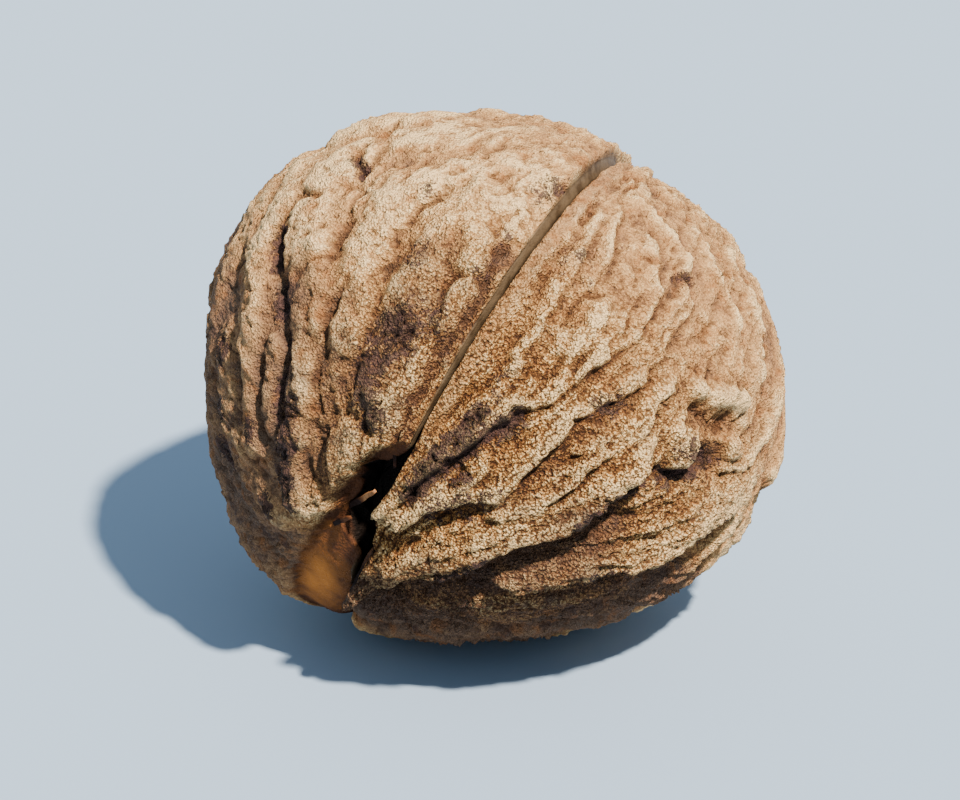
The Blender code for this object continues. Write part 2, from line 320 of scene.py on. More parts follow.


# %% [markdown]
# ## Furrows, stains and painted shade
#
# Between the cords lie narrow furrows with sharp floors, and here and there a deep pit. A furrow
# has a depth, a half width and a line of places. Old husk has left purple-black stains, some in
# the furrows and some across a crest. A stain is the same kind of line, with a strength. So is
# the dusk: painted shade with some dirt, broad and faint, at the lower left, under the nut and
# in the valleys. Pale lines take some of it away again.

# %% The furrows, the stains and the painted shade
RIGHT_FURROWS = (
    (0.35, 0.5, ((118, 4.5), (104, 3), (97, 3.5), (90, 4.5), (82, 6), (72, 6), (64, 4.5), (56, 3))),
    (1.10, 1.2, ((88.5, 56), (91, 60))),
    (0.60, 0.9, ((95, 47), (96, 53), (98, 59))),
    (0.50, 0.7, ((80, 49), (82, 54), (86, 57))),
    (0.90, 2.0, ((66, 50), (54, 47), (46, 43), (36, 42), (26, 36), (14, 24))),
    (0.80, 1.5, ((88, 80), (80, 78), (72, 76), (64, 70), (56, 66), (46, 62))),
    (0.35, 1.4, ((48, 25), (43, 19))),
    (0.35, 0.45, ((116.5, 29), (118, 30.5), (119, 33))),
)
LEFT_FURROWS = (
    (0.30, 0.45, ((99, -25), (91, -26), (86, -26), (78, -24), (72, -22), (65, -22), (58, -22))),
    (0.32, 0.45, ((98, -45), (94, -42), (86, -39), (80, -38), (74, -44))),
    (0.60, 0.6, ((102, -50), (98, -45))),
    (0.40, 0.45, ((76, -31), (68, -32), (61, -30))),
    (0.60, 0.9, ((82, -56), (78, -54), (70, -48), (67, -46))),
    (0.38, 0.6, ((66, -45), (59, -42), (53, -42), (47, -42), (41, -42), (35, -42))),
    (0.35, 0.5, ((56, -50), (50, -50), (42, -50))),
    (0.30, 1.4, ((50, -26), (44, -26), (37, -27))),
    (0.45, 0.6, ((90, -56), (90, -50))),
    (0.40, 0.7, ((97, -6), (84, -5), (70, -5), (60, -5.5))),
    (0.40, 0.6, ((115, -5.5), (118, -4))),
)
RIGHT_STAINS = (
    (1.05, 0.9, ((66, 9), (62, 9), (56, 8), (50, 7), (45, 5))),
    (0.95, 1.0, ((69, 16), (62, 14), (55, 11), (48, 8), (42, 5))),
    (0.95, 0.6, ((50, 15), (54, 17))),
    (0.60, 2.0, ((50, 23), (44, 18))),
    (0.90, 0.7, ((78, 47), (73, 47), (70, 46), (64, 45), (60, 44))),
    (0.90, 0.8, ((40, 37), (33, 35))),
    (0.60, 0.9, ((86, 50), (88, 51))),
    (0.60, 1.3, ((81, 29), (85, 31))),
    (0.55, 1.0, ((73, 8), (71, 9))),
    (0.80, 1.0, ((63, 64), (58, 62), (50, 62))),
    (0.80, 1.3, ((84, 77), (76, 75))),
    (0.80, 1.3, ((88.5, 56), (91, 60))),
    (0.80, 0.9, ((80, 51), (82, 54), (86, 58))),
    (0.70, 0.6, ((116.5, 29), (118, 30.5), (119, 33))),
    (0.45, 1.6, ((107, 6), (101, 7))),
)
LEFT_STAINS = (
    (0.85, 2.1, ((72, -15), (68, -17))),
    (0.85, 1.7, ((64, -18), (58, -18), (53, -14))),
    (0.85, 1.0, ((50, -36), (46, -38), (40, -38), (34, -38), (29, -36))),
    (0.90, 1.2, ((81, -55), (78, -54))),
    (0.90, 1.3, ((71, -48), (67, -46))),
    (0.85, 0.75, ((102, -50), (98, -45))),
    (0.70, 0.8, ((66, -45), (59, -42), (47, -42), (35, -42))),
    (0.80, 1.0, ((59, -66), (57, -66))),
    (0.80, 1.0, ((47, -69), (45, -69))),
    (0.80, 1.2, ((39, -78), (37, -77))),
    (0.80, 0.8, ((43, -54), (41, -54))),
    (0.80, 0.8, ((29, -56), (27, -56))),
    (0.75, 0.9, ((78, -10), (75, -8))),
    (0.70, 0.9, ((88, -21), (84, -22))),
    (0.60, 0.7, ((100, -28), (99, -27))),
    (0.45, 1.3, ((97, -8), (90, -7))),
    (0.55, 1.2, ((118, -6), (113, -8))),
)
# Painted shade with some dirt: broad and faint, under the nut and below the big cliff.
RIGHT_SHADE_AND_DIRT = (
    (0.9, 3.2, ((62, 50), (54, 49), (40, 47), (30, 42), (20, 32), (8, 22))),
    (0.8, 5.0, ((60, 78), (44, 68), (31, 63), (18, 62))),
    (0.3, 1.8, ((75, 30), (66, 30), (58, 29))),
    (1.5, 5.0, ((6, 66), (14, 92), (29, 115), (42, 102), (52, 92), (66, 92))),
)
# The pale lines of both halves take some of the painted shade and dirt away.
RIGHT_PALE = (
    (0.60, 1.4, ((100, 46), (104, 59))),
    (0.35, 2.0, ((112, 38), (114, 52))),
    (0.30, 1.2, ((69, 17), (75, 22))),
)
LEFT_PALE = (
    (0.30, 6.0, ((112, -20), (112, -50), (104, -64))),
    (0.25, 4.0, ((98, -30), (92, -46))),
)
# Painted shade with some dirt on the left half: in its valleys, on its lower flank and along its lip.
LEFT_SHADE_AND_DIRT = (
    (0.50, 3.5, ((66, -30), (48, -29), (36, -25))),
    (0.75, 3.8, ((66, -42), (48, -46), (34, -44))),
    (0.50, 2.2, ((88, -16), (76, -15), (64, -15))),
    (0.9, 6.0, ((62, -80), (50, -84), (38, -86), (24, -90))),
    (0.6, 4.5, ((58, -66), (44, -66), (30, -62))),
    (0.7, 3.0, ((80, -84), (95, -84))),
    (0.6, 1.1, ((96, -5.5), (84, -5), (72, -5), (60, -5.5), (52, -5))),
)


FURROW_CURVE = 1.3


def furrow_depth(out, furrows):
    """How deep the furrows are at each direction, in mm: sharp at the floor of each."""
    depth = np.zeros(len(out))
    for deepest, width, line in furrows:
        gap, _ = gap_to(out, line)
        depth = np.maximum(depth, deepest * np.clip(1 - gap / width, 0, 1) ** FURROW_CURVE)
    return depth


def stain_and_shade_strength(out, stains):
    """How strong the stains, and likewise the painted shade and dirt, are at each direction: full along
    the line, fading to its sides.
    """
    dark = np.zeros(len(out))
    for strength, width, line in stains:
        gap, _ = gap_to(out, line)
        dark = np.maximum(dark, strength * np.clip(1 - (gap / width) ** 2, 0, 1))
    return dark


print("furrows:", len(RIGHT_FURROWS) + len(LEFT_FURROWS))
print("stains:", len(RIGHT_STAINS) + len(LEFT_STAINS), "dusk:", len(RIGHT_SHADE_AND_DIRT) + len(LEFT_SHADE_AND_DIRT))

# %% [markdown]
# ## The crack and the hole
#
# Each half ends at an edge that follows the seam. An edge is a list of places: degrees down from
# the stem end along the open seam, and the distance across the seam in millimetres. The left
# half steps back beside the stem end, which leaves the hole, and its surface dips into a smooth
# scar that runs from the hole round the stem end. The right half comes to a point at the hole.
# The left lip has a narrow, smooth strip where the shell split, which widens towards the tip.
# On the far side of the nut the halves still meet.

# %% The edges of the two halves
RIGHT_EDGE = (
    (-180, -0.78), (-90, -0.20), (-20, 0.02), (4, 0.05), (9, 0.20), (14, 0.42), (22, 0.50),
    (28, 0.30), (31, -0.05), (33, -0.42), (36, -0.24), (42, -0.02), (50, 0.00), (60, -0.10),
    (75, -0.25), (90, -0.34), (120, -0.58), (180, -0.78),
)
HOLE_EDGE = (
    (-180, 0), (14, 0), (16, 0.3), (17.5, 1.2), (19, 1.9), (21, 2.4), (24, 2.25), (26, 2.35), (28, 2.1),
    (30.5, 1.95), (33, 1.6), (36, 2.05), (38, 1.9), (40, 2.2), (41.5, 1.7), (43, 1.1), (46, 0.6),
    (48.5, 0.2), (50.5, 0), (180, 0),
)
SCAR_EDGE = (
    (-50, 0.5), (-30, -1.5), (-16, -3.3), (0, -3.9), (9, -4.0), (14, -3.9), (20, -3.6), (26, -3.4),
    (30, -3.25), (37, -3.0), (42, -2.65), (47.5, -2.0), (51, -0.9), (53, 0.5),
)
SCAR_DEPTH = (
    (-50, 0), (-22, 0.1), (-10, 0.35), (0, 0.8), (12, 1.3), (20, 1.7), (30, 1.9), (42, 1.6),
    (48, 0.8), (53, 0),
)
SCAR_WALL = 0.80
# Where the scar's painted light is centred and how far it spreads, down the seam and across it.
SCAR_LIGHT_SPOT = ((0, 10), (-2.1, 1.15))
OPEN_GAP = 0.20
CLOSED_GAP = 0.04
STRIP_WIDTH = 0.34
STRIP_WIDER = 0.020
STRIP_LIMITS = (0.12, 1.0)
STRIP_DEPTH = 0.60
LIP_LEVEL = 0.40
LIP_ROUND = 0.22
STEM_ROUND = 1.1
STEM_FROM, STEM_FADE = 4, 12
STEM_LAST, STEM_LAST_FADE = -90, 40


def along_seam(out):
    """Degrees down the open seam from the stem end, and negative round the far side."""
    return np.degrees(np.arctan2(out[:, 2], -out[:, 1]))


def stops_at(down, stops):
    """The value of an edge, or of a depth along it, at each angle down the seam."""
    places, values = zip(*stops)
    return np.interp(down, places, values)


def scar_light_spot(down, across):
    """Painted light on the scar: 1 in its middle, fading to 0 towards its borders."""
    (middle_down, spread_down), (middle_across, spread_across) = SCAR_LIGHT_SPOT
    away = ((down - middle_down) / spread_down) ** 2 + ((across - middle_across) / spread_across) ** 2
    return np.exp(-away)


def openness(down):
    """1 along the open seam and 0 round the far side, where the halves still meet."""
    return np.clip(np.sin(np.radians(down)) * 4, 0, 1)


def half_edge(down, side):
    """Where a half ends, across the seam in mm."""
    right = stops_at(down, RIGHT_EDGE)
    if side > 0:
        return right
    gap = CLOSED_GAP + (OPEN_GAP - CLOSED_GAP) * openness(down)
    return np.minimum(right, 0.0) - gap - stops_at(down, HOLE_EDGE)


def strip_width(down):
    """The width of the smooth split strip of the left half, in mm."""
    up = -np.cos(np.radians(down)) * REACH_FRONT
    return np.clip(STRIP_WIDTH + STRIP_WIDER * up, *STRIP_LIMITS) * openness(down)


print("strip width at the tip, in mm:", strip_width(np.array([150.0])))

# %% [markdown]
# ## A half shell as a mesh
#
# A half shell is a deep bowl with a thick rim. It starts as two balls, one inside the other. Each
# is cut in half, and a bridge between the two rims makes one closed mesh with a wall. The mesh
# is far too even to be a nut yet, but each of its points already has a place on the shell and a
# depth in the wall. The next step moves every point to where those two say.

# %% Build the plain bowl
COARSE_SEGMENTS = 140
OUTER_RINGS = 35
INNER_RINGS = 5
FINER_CUTS = 3
INNER_RADIUS = 0.75
WALL_CUTS = 8


def deselect():
    bpy.ops.object.select_all(action="DESELECT")


def half_ball(radius, rings, side):
    """Half of a round ball: the part on one side of its own equator, cut into finer faces."""
    deselect()
    bpy.ops.mesh.primitive_uv_sphere_add(segments=COARSE_SEGMENTS, ring_count=2 * rings, radius=radius)
    ball = bpy.context.object
    bpy.ops.object.mode_set(mode="EDIT")
    bpy.ops.mesh.select_mode(type="FACE")
    bpy.ops.mesh.select_all(action="DESELECT")
    editing = bmesh.from_edit_mesh(ball.data)
    for face in editing.faces:
        face.select_set(face.calc_center_median().z * side < 0)
    bmesh.update_edit_mesh(ball.data)
    bpy.ops.mesh.delete(type="FACE")
    bpy.ops.mesh.select_all(action="SELECT")
    bpy.ops.mesh.subdivide(number_cuts=FINER_CUTS)
    bpy.ops.object.mode_set(mode="OBJECT")
    return ball


def bowl(name, side):
    """A closed bowl: an outer and an inner half ball, with their rims bridged."""
    outer = half_ball(1.0, OUTER_RINGS, side)
    inner = half_ball(INNER_RADIUS, INNER_RINGS, side)
    deselect()
    inner.select_set(True)
    outer.select_set(True)
    bpy.context.view_layer.objects.active = outer
    bpy.ops.object.join()
    outer.name = name
    outer.data.name = name
    bpy.ops.object.mode_set(mode="EDIT")
    bpy.ops.mesh.select_mode(type="EDGE")
    bpy.ops.mesh.select_all(action="DESELECT")
    bpy.ops.mesh.select_non_manifold(extend=False, use_wire=False, use_boundary=True,
                                     use_multi_face=False, use_non_contiguous=False, use_verts=False)
    bpy.ops.mesh.bridge_edge_loops(number_cuts=WALL_CUTS, interpolation="LINEAR")
    bpy.ops.mesh.select_all(action="SELECT")
    bpy.ops.mesh.normals_make_consistent(inside=False)
    bpy.ops.object.mode_set(mode="OBJECT")
    return outer


# %% [markdown]
# ## The shape of the shell
#
# The rings of the bowl are crowded together towards the rim, because the lips of the crack need
# the finest mesh. The directions are pushed about a little by seeded noise, so that the ridges
# wander. Then each point goes out to the reach of the shell in its own direction. Lumps of two mm,
# narrow steps that run with the ridges, grains of half a millimetre and fine cracks roughen it.
# Anything finer is left to the finish. Last, the few points that would leave the box of the
# imported model are pressed back into it.
#
# Each point also keeps what the finish needs to know: how high it stands among its neighbours,
# with painted light on convex places and cliff rims and painted shade in hollows, how deep it lies
# in a crease or at a cliff's foot, for painted shade there, how stained it is, how much painted
# shade and dirt it has, and whether it is on the margin, the strip or the scar, with painted
# light in the scar's middle. The shell is sandy on its open side and worn smoother all round that.

# %% Move the points of a bowl to the shape of the shell
RING_SPACING = 0.45
WAVER = ((4.0, 0.026), (11.0, 0.016), (30.0, 0.007))
WAVER_SEED = 5
LUMP_SIZE, LUMP_HEIGHT = 1.7, 0.16
GRAIN_SIZE, GRAIN_HEIGHT = 0.55, 0.11
CRACK_SIZE, CRACK_WIDTH, CRACK_DEPTH = 2.2, 0.07, 0.16
TERRACE = {1: (1.0, 7.0, 0.34), -1: (1.3, 4.0, 0.24)}
TERRACE_LEAN = 0.75
TERRACE_FADE = (110, 145)
TERRACE_SLICE = 3.7
FAN_START, FAN_END = 20, 80
LIP_STEP = 0.32
BAND_WIDTH = 0.95
SANDY_DOWN, SANDY_MIDDLE, SANDY_AROUND, SANDY_FADE = 120, 28, 78, 52
WORN_SAND = 0.30
CREST_ROUNDS = 40
CREASE_ROUNDS = 12
CREST_FROM = 0.30
CREST_MIDDLE = 0.40
LEVEL_SHARE, CAVITY_SHADING_SHARE, RIM_HIGHLIGHT_SHARE = 0.36, 1.0, 0.08
CREASE_GAIN, CREASE_FROM = 7.0, 0.12
MARGIN_FROM, MARGIN_FADE = 50, 8
MARGIN_SMOOTH = 0.35
LIP_DROP = 0.6
SCAR_RAGGED = 1.5
SCAR_LEVEL = 0.75
STRIP_FADE = 0.12
STRIP_LEAST = 0.05
SMOOTHING = 0.85
WALL_ROUGH_SIZE, WALL_ROUGH = 0.9, 0.10
INNER_WAVE_SIZE, INNER_WAVE = 3.0, 0.06
INNER_WALL = 0.9
OUTER_FROM = 0.995
PRESS = 0.0009

noise.seed_set(WAVER_SEED)


def soften(amount):
    """A smooth step from 0 to 1."""
    amount = np.clip(amount, 0, 1)
    return amount * amount * (3 - 2 * amount)


def angles(out):
    """Degrees down from the stem end, and degrees round from the open seam."""
    down = np.degrees(np.arccos(np.clip(-out[:, 1], -1, 1)))
    around = np.degrees(np.arctan2(out[:, 0], out[:, 2]))
    return down, around


def aim(out, side):
    """Crowd the rings towards the rim, and end them at the edge of this half."""
    share = np.arccos(np.clip(side * out[:, 0], 0, 1)) / (math.pi / 2)
    edge = half_edge(along_seam(out), side)
    end = np.degrees(np.arccos(side * edge / REACH_FRONT))
    crowded = RING_SPACING * share + (1 - RING_SPACING) * np.sin(share * math.pi / 2)
    turn = np.radians(90 * crowded + (end - 90) * share ** 2)
    ring = out[:, 1:] / np.maximum(np.linalg.norm(out[:, 1:], axis=1), 1e-9)[:, None]
    return np.column_stack((side * np.cos(turn), np.sin(turn)[:, None] * ring))


def waver(out):
    """The directions pushed about a little, so that ridges wander and have ragged sides."""
    moved = out.copy()
    for pace, amount in WAVER:
        moved += np.array([noise.noise_vector(Vector(point) * pace) for point in out]) * amount
    return moved / np.linalg.norm(moved, axis=1)[:, None]


def lip_step(out):
    """The left lip stands a little proud of the right one towards the tip, in mm."""
    near_tip = np.clip((out[:, 1] + 0.1) / 0.7, 0, 1)
    return LIP_STEP * near_tip * (out[:, 2] > -0.5) * np.exp(-((out[:, 0] / 0.25) ** 2))


def terraces(out, side):
    """Narrow steps that run with the ridges and fan out from the stem end, in mm."""
    width, length, height = TERRACE[side]
    down, around = angles(out)
    fan = around * (FAN_START + FAN_END) / (np.minimum(down, FAN_END) + FAN_START)
    across = np.radians(fan) * REACH_FRONT / width
    along = np.radians(down) * REACH_FRONT / length
    places = np.column_stack((across, along, np.full(len(out), TERRACE_SLICE)))
    wave = lumps(places, 1.0, 2)
    places[:, 0] -= side * TERRACE_LEAN * wave
    near, far = TERRACE_FADE
    return height * lumps(places, 1.0, 3) * soften((far - np.abs(around)) / (far - near))


def sandiness(out):
    """1 in the sandy middle of the open side, fading to what is left where it is worn."""
    down, around = angles(out)
    high = soften((SANDY_DOWN - down) / SANDY_FADE)
    facing = soften((SANDY_AROUND - np.abs(around - SANDY_MIDDLE)) / SANDY_FADE)
    return WORN_SAND + (1 - WORN_SAND) * (high * facing)


def shell_surface(out, side):
    """The reach of the outside in mm, and what the finish needs to know about each place."""
    pushed = waver(out)
    relief, foot_shadow, rim_highlight = ridge_relief(pushed)
    furrow = furrow_depth(pushed, RIGHT_FURROWS if side > 0 else LEFT_FURROWS)
    stain = stain_and_shade_strength(pushed, RIGHT_STAINS if side > 0 else LEFT_STAINS)
    dusk = stain_and_shade_strength(pushed, RIGHT_SHADE_AND_DIRT if side > 0 else LEFT_SHADE_AND_DIRT)
    dusk -= stain_and_shade_strength(pushed, RIGHT_PALE if side > 0 else LEFT_PALE)
    down = along_seam(out)
    across = out[:, 0] * REACH_FRONT
    inside_edge = side * (across - half_edge(down, side))
    form = smooth_form(out) - side * lip_step(out)
    points = out * form[:, None]
    lump = LUMP_HEIGHT * lumps(points, LUMP_SIZE, 4) + terraces(pushed, side)
    grain = GRAIN_HEIGHT * lumps(points, GRAIN_SIZE, 2, 31.7)
    cracks = np.clip(1 - np.abs(lumps(points, CRACK_SIZE, 3, 57.3)) / CRACK_WIDTH, 0, 1)
    grain = grain - CRACK_DEPTH * cracks
    band = np.zeros(len(out))
    scar = np.zeros(len(out))
    strip = np.zeros(len(out))
    below_stem = soften((STEM_FROM - down) / STEM_FADE)
    before_last = soften((down - STEM_LAST) / STEM_LAST_FADE)
    rounding = LIP_ROUND + (STEM_ROUND - LIP_ROUND) * below_stem * before_last
    drop = np.clip(1 - inside_edge / rounding, 0, 1) ** 2 * rounding * LIP_DROP
    if side > 0:
        beside_crack = openness(down) * soften((down - MARGIN_FROM) / MARGIN_FADE)
        band = soften((1.2 * BAND_WIDTH - inside_edge) / (0.4 * BAND_WIDTH)) * beside_crack
        relief = relief * (1 - band) + (RIDGE_DEPTH - LIP_LEVEL) * band
    else:
        ragged = across + SCAR_RAGGED * lump
        scar = soften((ragged - stops_at(down, SCAR_EDGE)) / SCAR_WALL)
        drop = drop + scar * stops_at(down, SCAR_DEPTH)
        width = strip_width(down) * (stops_at(down, HOLE_EDGE) < STRIP_LEAST)
        strip = soften((width - inside_edge) / STRIP_FADE + 0.5) * (width > STRIP_LEAST)
    smooth = np.clip(np.maximum(strip, np.maximum(scar, MARGIN_SMOOTH * band)), 0, 1)
    rough = (lump + grain * (1 + stain)) * (1 - SMOOTHING * smooth)
    body = (relief - furrow) * (1 - scar) + RIDGE_DEPTH * SCAR_LEVEL * scar
    reach = form - RIDGE_DEPTH + body - drop + rough
    sunk = STRIP_DEPTH * (1 - np.clip(inside_edge / np.maximum(strip_width(down), 0.1), 0, 1))
    ledge = smooth_form(out) - lip_step(out) - LIP_LEVEL - sunk
    reach = reach * (1 - strip) + ledge * strip
    facts = {
        "crest": relief - furrow + lump + grain,
        "stain": stain,
        "dusk": dusk,
        "band": band,
        "strip": strip,
        "scar": scar,
        # Painted light in the middle of the scar.
        "glow": scar_light_spot(down, across) * scar,
        # The foot of each cliff gets a painted shadow and its rim a painted highlight, except on the
        # margin band.
        "foot_shadow": foot_shadow * (1 - band),
        "rim_highlight": rim_highlight * (1 - band),
        "sandy": sandiness(out),
    }
    return reach, facts


def settled(mesh, values, rounds):
    """The values after each point has been drawn towards its neighbours a number of times."""
    pairs = np.empty(len(mesh.edges) * 2, np.int32)
    mesh.edges.foreach_get("vertices", pairs)
    first, second = pairs.reshape(-1, 2).T
    size = len(values)
    count = np.bincount(first, minlength=size) + np.bincount(second, minlength=size)
    for _ in range(rounds):
        total = np.bincount(first, values[second], size) + np.bincount(second, values[first], size)
        values = (values + total / count) / 2
    return values


def pressed_in(world):
    """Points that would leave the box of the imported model, pressed back into it softly."""
    for axis in range(3):
        for wall, sign in ((cad_low[axis], -1), (cad_high[axis], 1)):
            if axis == 2 and sign < 0:
                continue
            over = np.clip(PRESS - sign * (wall - world[:, axis]), 0, None)
            world[:, axis] += sign * (PRESS * np.tanh(over / PRESS) - over)
    world[:, 2] = np.maximum(world[:, 2], 0)
    return world


def shape_bowl(shell, side):
    """Move every point of a bowl to its place, and store what the finish needs on the mesh."""
    mesh = shell.data
    flat = np.empty(len(mesh.vertices) * 3)
    mesh.vertices.foreach_get("co", flat)
    ball = np.roll(flat.reshape(-1, 3), 1, axis=1)
    depth = np.linalg.norm(ball, axis=1)
    out = aim(ball / depth[:, None], side)
    share = np.clip((depth - INNER_RADIUS) / (OUTER_FROM - INNER_RADIUS), 0, 1)
    outside, facts = shell_surface(out, side)
    inner_wave = INNER_WAVE * lumps(out * REACH_FRONT, INNER_WAVE_SIZE, 2)
    cavity = smooth_form(out) - RIDGE_DEPTH - WALL * (INNER_WALL + inner_wave)
    wall_place = out * (cavity + share * WALL)[:, None]
    wall_rough = WALL_ROUGH * lumps(wall_place, WALL_ROUGH_SIZE, 3, 7.1)
    inside_wall = np.sin(math.pi * share)
    reach = cavity + (outside - cavity) * share
    placed = out * reach[:, None]
    placed[:, 0] += side * np.clip(wall_rough, 0, 1) * inside_wall
    world = pressed_in(to_world(placed))
    mesh.vertices.foreach_set("co", world.ravel())
    height = facts["crest"]
    # Height less its blurred self: low in hollows and high on convex places, used for painted shade and
    # light.
    fine = height - settled(mesh, height, CREASE_ROUNDS)
    cavity_shading = height - settled(mesh, height, CREST_ROUNDS)
    level = np.clip((height - CREST_FROM) / (RIDGE_DEPTH - CREST_FROM), 0, 1)
    rim_highlight = facts.pop("rim_highlight")
    # The crest value: the height, painted light on convex places and cliff rims, and painted shade in
    # hollows.
    crest = CREST_MIDDLE + LEVEL_SHARE * level + CAVITY_SHADING_SHARE * cavity_shading + RIM_HIGHLIGHT_SHARE * rim_highlight
    facts["crest"] = np.clip(crest, 0, 1)
    # Painted shade in the creases and along the foot of each cliff.
    valley_shade = np.clip(-CREASE_GAIN * fine - CREASE_FROM, 0, 1)
    facts["crease"] = np.maximum(valley_shade, facts.pop("foot_shadow"))
    facts["inner"] = 1 - share
    for key, values in facts.items():
        layer = mesh.attributes.new(key, "FLOAT", "POINT")
        layer.data.foreach_set("value", values.astype(np.float32))
    mesh.update()


# %% [markdown]
# Both halves are made by the same two calls, and shaded smooth, because the grain is finer than
# the mesh.

# %% Make the two half shells
def half_shell(name, side):
    """One half of the shell: the bowl, shaped and shaded smooth."""
    shell = bowl(name, side)
    shape_bowl(shell, side)
    deselect()
    shell.select_set(True)
    bpy.context.view_layer.objects.active = shell
    bpy.ops.object.shade_smooth()
    return shell


left_shell = half_shell("left_shell", -1)
right_shell = half_shell("right_shell", 1)
for shell in (left_shell, right_shell):
    print(shell.name, "faces:", len(shell.data.polygons))

# %% [markdown]
# ## The finish
#
# Shader maths is long-winded in nodes, so two small helpers make it read like Python. A Value
# wraps a socket and knows how to add, subtract and multiply. A Finish is a new material: node()
# makes a node of any kind, and short methods make the kinds that are needed again and again.

# %% Helpers that write materials
class Value:
    """A socket of a material, on which arithmetic adds Math nodes."""

    def __init__(self, finish, socket):
        self.finish = finish
        self.socket = socket

    def math(self, operation, first, second):
        return self.finish.node("ShaderNodeMath", {"operation": operation}, {0: first, 1: second})

    def __add__(self, other):
        return self.math("ADD", self, other)

    def __sub__(self, other):
        return self.math("SUBTRACT", self, other)

    def __mul__(self, other):
        return self.math("MULTIPLY", self, other)

    def __radd__(self, other):
        return self.math("ADD", other, self)

    def __rsub__(self, other):
        return self.math("SUBTRACT", other, self)

    def __rmul__(self, other):
        return self.math("MULTIPLY", other, self)


class Finish:
    """A new material. Its shader is ready, and node() adds everything that feeds it."""

    def __init__(self, name):
        self.material = bpy.data.materials.new(name)
        self.material.use_nodes = True
        self.tree = self.material.node_tree
        self.shader = self.tree.nodes["Principled BSDF"]

    def node(self, kind, settings, inputs, output=0):
        """A new node with its settings and inputs, as the Value of one of its outputs."""
        made = self.tree.nodes.new(kind)
        for key, setting in settings.items():
            if key == "stops":
                ramp = made.color_ramp
                while len(ramp.elements) < len(setting):
                    ramp.elements.new(0.5)
                for element, (place, colour) in zip(ramp.elements, setting):
                    element.position = place
                    element.color = (*colour, 1)
            else:
                setattr(made, key, setting)
        for key, given in inputs.items():
            self.feed(made.inputs[key], given)
        return Value(self, made.outputs[output])

    def feed(self, socket, given):
        """Link a Value to a socket, or write a constant on it."""
        if isinstance(given, Value):
            self.tree.links.new(given.socket, socket)
        elif isinstance(given, tuple) and len(given) == 3 and socket.type == "RGBA":
            socket.default_value = (*given, 1)
        else:
            socket.default_value = given

    def attribute(self, name):
        return self.node("ShaderNodeAttribute", {"attribute_name": name}, {}, "Fac")

    def place(self):
        return self.node("ShaderNodeTexCoord", {}, {}, "Object")

    def noise(self, place, size, detail, roughness=0.5):
        """Noise from 0 to 1 whose blobs are about the given size in metres."""
        inputs = {"Vector": place, "Scale": 1 / size, "Detail": detail, "Roughness": roughness}
        return self.node("ShaderNodeTexNoise", {}, inputs)

    def between(self, value, low, high):
        """0 at low, 1 at high, and a smooth step between."""
        inputs = {"Value": value, "From Min": low, "From Max": high}
        return self.node("ShaderNodeMapRange", {"interpolation_type": "SMOOTHSTEP"}, inputs)

    def mix(self, factor, first, second):
        """The first colour where the factor is 0, and the second where it is 1."""
        inputs = {0: factor, 6: first, 7: second}
        return self.node("ShaderNodeMix", {"data_type": "RGBA"}, inputs, 2)


# %% [markdown]
# Bare walnut shell is pale on the crests and a saturated orange-brown in the valleys, because the
# dust of the husk is rubbed off where hands touch it. One tone says where a place lies between
# the two. It follows the crest value of the mesh, which also carries painted light on convex
# places and cliff rims and painted shade in hollows, with clouds, blotches and, where the shell
# is sandy, grains. A grain is a cell of a Voronoi pattern whose cells have been pushed about, and
# the dark pits lie between the cells. Other colours go over that: grey where the shell is worn,
# rust in flecks, brown painted shade with some dirt and grime at the lower left, under the nut
# and in the valleys, and dark brown painted shade in the creases and along the foot of each cliff.
# The stains are purple-black and break up into specks at their borders. The scar is orange, with
# painted light in its middle and painted shade towards its borders, and the inside of the shell
# is painted near black as shade. The strip and the margin beside the crack are smooth and even.
# Most of this follows the values that are stored on the mesh, so the colours stay with the relief.

# %% The finish of the shell
DEEP_BROWN = (0.045, 0.016, 0.005)
# Painted shade: dark brown for the creases and the foot of each cliff.
CREASE_SHADE_BROWN = (0.060, 0.022, 0.007)
ORANGE_BROWN = (0.180, 0.060, 0.012)
WARM_TAN = (0.350, 0.150, 0.036)
PALE_TAN = (0.530, 0.280, 0.092)
BLEACHED = (0.780, 0.500, 0.215)
RUST = (0.260, 0.085, 0.018)
STAIN_DARK = (0.007, 0.003, 0.003)
STAIN_PURPLE = (0.060, 0.029, 0.023)
STRIP_TAUPE = (0.085, 0.054, 0.028)
STRIP_DARK = (0.035, 0.020, 0.009)
WORN_GREY = (0.480, 0.325, 0.195)
# The next two darken the places of painted shade with some dirt: grime blotches and a broad brown.
GRIME_AND_SHADE = (0.050, 0.028, 0.022)
SHADE_AND_DIRT_BROWN = (0.105, 0.062, 0.040)
MARGIN_TAN = (0.290, 0.125, 0.038)
# The scar: brown as painted shade at its borders, orange lit as painted light in its middle.
SCAR_SHADE_BROWN = (0.060, 0.020, 0.007)
SCAR_LIT_ORANGE = (0.380, 0.125, 0.020)
# Painted shade: the inside of the shell near black.
INNER_SHADE = (0.008, 0.004, 0.002)
TONES = (
    (0.0, DEEP_BROWN),
    (0.20, ORANGE_BROWN),
    (0.50, WARM_TAN),
    (0.80, PALE_TAN),
    (1.0, BLEACHED),
)
CLOUD_SIZE = 0.0042
GRIME_SIZE = 0.0021
BLOTCH_SIZE = 0.0015
HUE_SIZE = 0.0011
SAND_SIZE = 0.00042
CELL_DRIFT = 0.00025
CELL_SIZE = 0.00016
SPECK_SIZE = 0.00012
BUMP_HEIGHT = 0.0008


